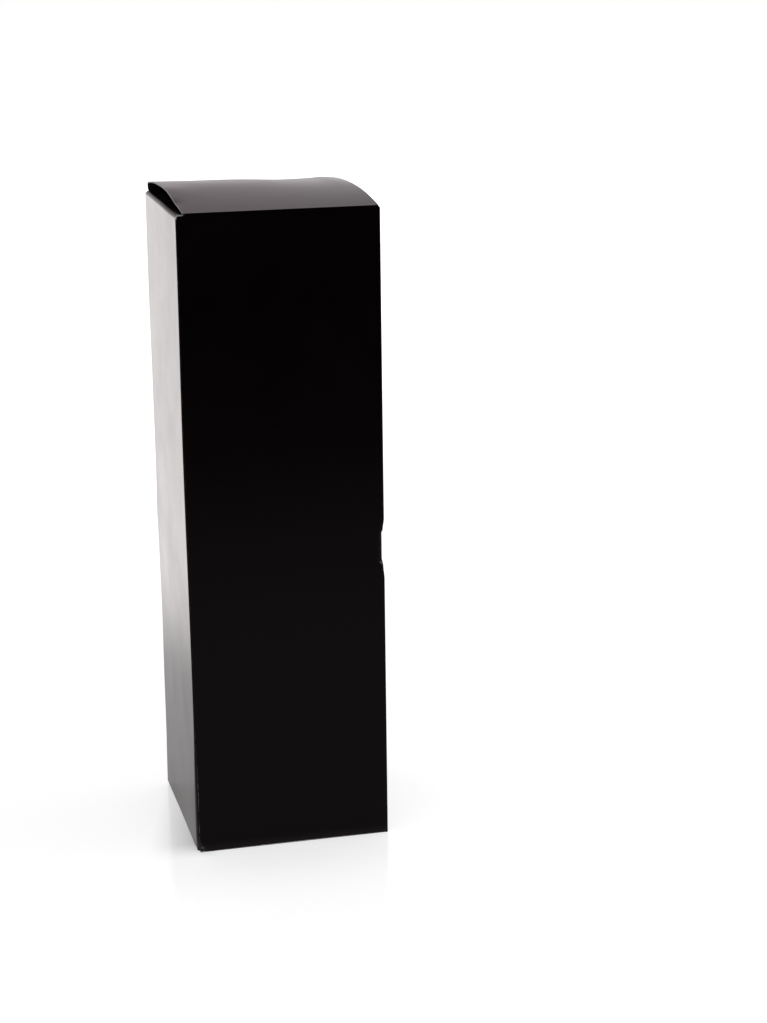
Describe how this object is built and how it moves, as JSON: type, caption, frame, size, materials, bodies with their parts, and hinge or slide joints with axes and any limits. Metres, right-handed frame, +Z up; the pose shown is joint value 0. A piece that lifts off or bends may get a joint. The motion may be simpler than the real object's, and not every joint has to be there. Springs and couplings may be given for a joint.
{
  "type": "bottle shipping box",
  "caption": "Tall square folding carton of thin black board for one bottle, with a hinged tuck lid at the top and at the base.",
  "frame": {"origin": "middle of the base, on the surface that the carton stands on", "axes": "+Z up the carton, +Y from the front panel (which carries both lids) to the rear one, +X to the right of the front panel"},
  "size_m": [0.077, 0.076, 0.2551],
  "materials": {
    "black_board": "satin film laminate on black board"
  },
  "bodies": {
    "carton": {"carton_body": "black_board"},
    "top_flap": {"top_lid": "black_board"},
    "bottom_flap": {"bottom_lid": "black_board"}
  },
  "joints": [
    {"name": "top_lid_hinge", "type": "hinge", "parent": "carton", "child": "top_flap", "pos_m": [0, -0.03775, 0.24975], "axis": [1, 0, 0], "range_deg": [0, 200]},
    {"name": "bottom_lid_hinge", "type": "hinge", "parent": "carton", "child": "bottom_flap", "pos_m": [0, -0.03775, 0.00025], "axis": [-1, 0, 0], "range_deg": [0, 200]}
  ]
}
